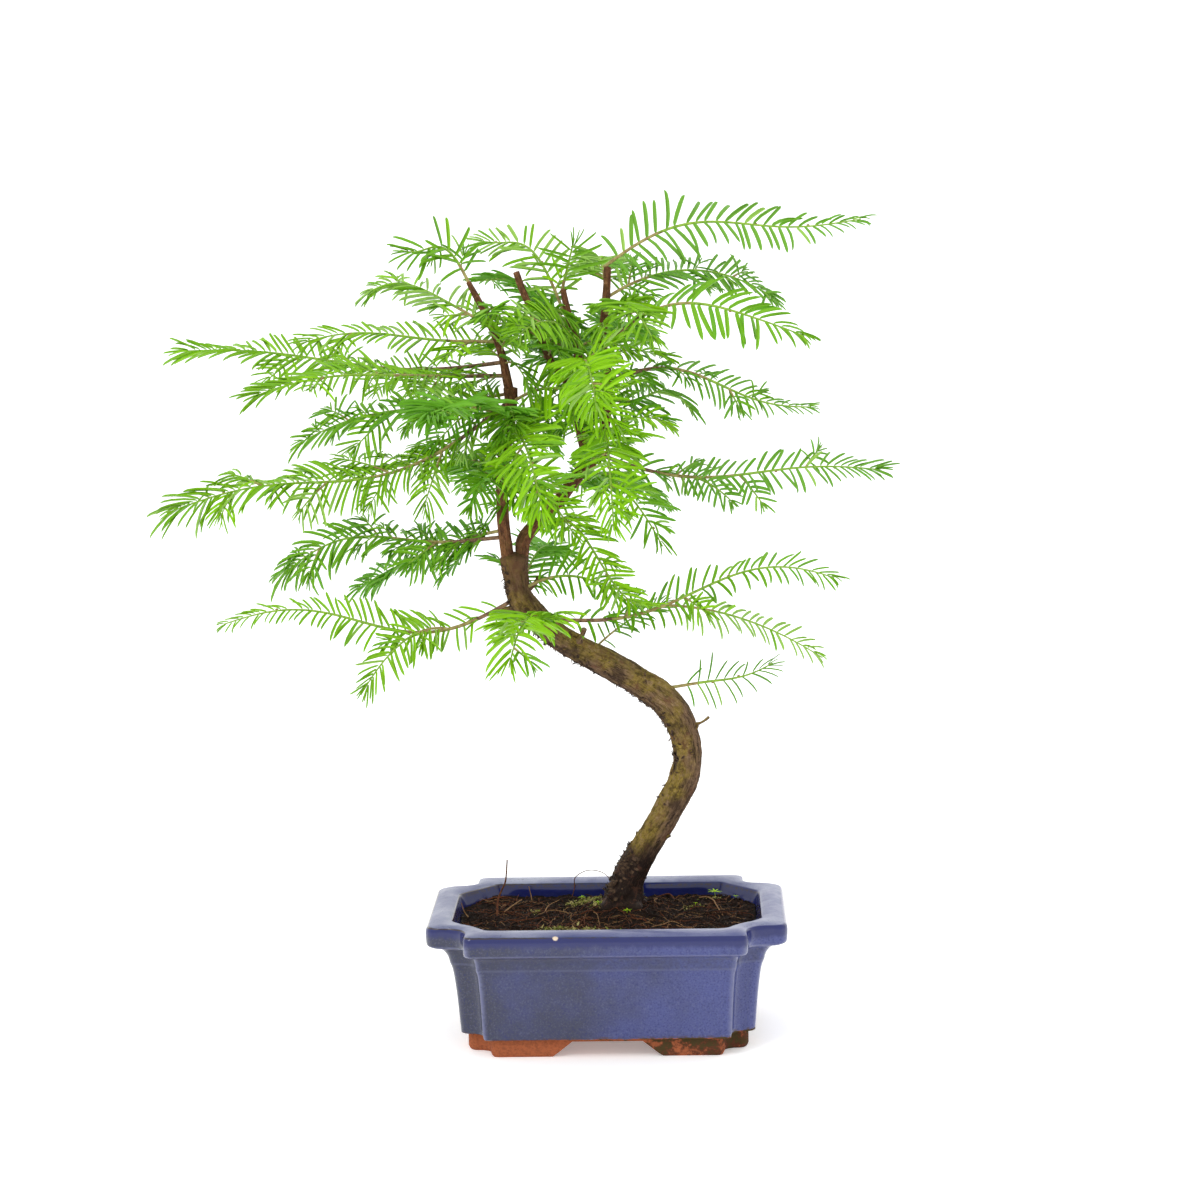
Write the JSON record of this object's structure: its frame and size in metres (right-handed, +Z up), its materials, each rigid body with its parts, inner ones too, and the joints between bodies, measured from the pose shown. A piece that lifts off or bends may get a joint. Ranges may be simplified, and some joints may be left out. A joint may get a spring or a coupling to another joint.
{
  "type": "dawn redwood bonsai in a glazed pot",
  "caption": "Small conifer trained as a bonsai: a winding bare trunk, forked stems and flat sprays of soft green needles, in a notched blue glazed pot on low feet.",
  "frame": {"origin": "middle of the whole plant's bounding box in plan, at the level the pot stands on", "axes": "+Z up, +X to the right along the pot's long side, +Y away from the front of the pot"},
  "size_m": [0.3617, 0.2433, 0.3966],
  "materials": {
    "blue_glaze": "gloss",
    "damp_soil": "matte",
    "bark": "matte",
    "stem_bark": "matte",
    "bough_bark": "matte",
    "needles": "matte"
  },
  "bodies": {
    "root": {"bough_bright_left": "bough_bark", "bough_front": "bough_bark", "bough_front_left": "bough_bark", "bough_high_right": "bough_bark", "bough_long_left": "bough_bark", "bough_long_right": "bough_bark", "bough_low_left": "bough_bark", "bough_low_right": "bough_bark", "bough_mid_front_right": "bough_bark", "bough_mid_left": "bough_bark", "bough_upper_left": "bough_bark", "bough_upper_right": "bough_bark", "cut_stem": "stem_bark", "foliage_back": "needles", "foliage_back_right": "needles", "foliage_bright_left": "needles", "foliage_front": "needles", "foliage_front_left": "needles", "foliage_hanging_front": "needles", "foliage_hanging_right": "needles", "foliage_high_back": "needles", "foliage_high_front_right": "needles", "foliage_high_left": "needles", "foliage_high_left_back": "needles", "foliage_high_right": "needles", "foliage_inner_front": "needles", "foliage_inner_high": "needles", "foliage_inner_left": "needles", "foliage_inner_low": "needles", "foliage_inner_right": "needles", "foliage_long_left": "needles", "foliage_long_right": "needles", "foliage_low_back": "needles", "foliage_low_back_right": "needles", "foliage_low_front": "needles", "foliage_low_front_right": "needles", "foliage_low_left": "needles", "foliage_low_right": "needles", "foliage_lowest_right": "needles", "foliage_mid_back": "needles", "foliage_mid_front_right": "needles", "foliage_mid_left": "needles", "foliage_mid_left_back": "needles", "foliage_top": "needles", "foliage_top_back": "needles", "foliage_top_left": "needles", "foliage_top_left_back": "needles", "foliage_top_right": "needles", "foliage_top_right_back": "needles", "foliage_upper_left": "needles", "foliage_upper_right": "needles", "foliage_upper_right_back": "needles", "high_left_stem": "stem_bark", "left_stem": "stem_bark", "middle_stem": "stem_bark", "pot": "blue_glaze", "right_stem": "stem_bark", "soil": "damp_soil", "trunk": "bark"}
  },
  "joints": []
}
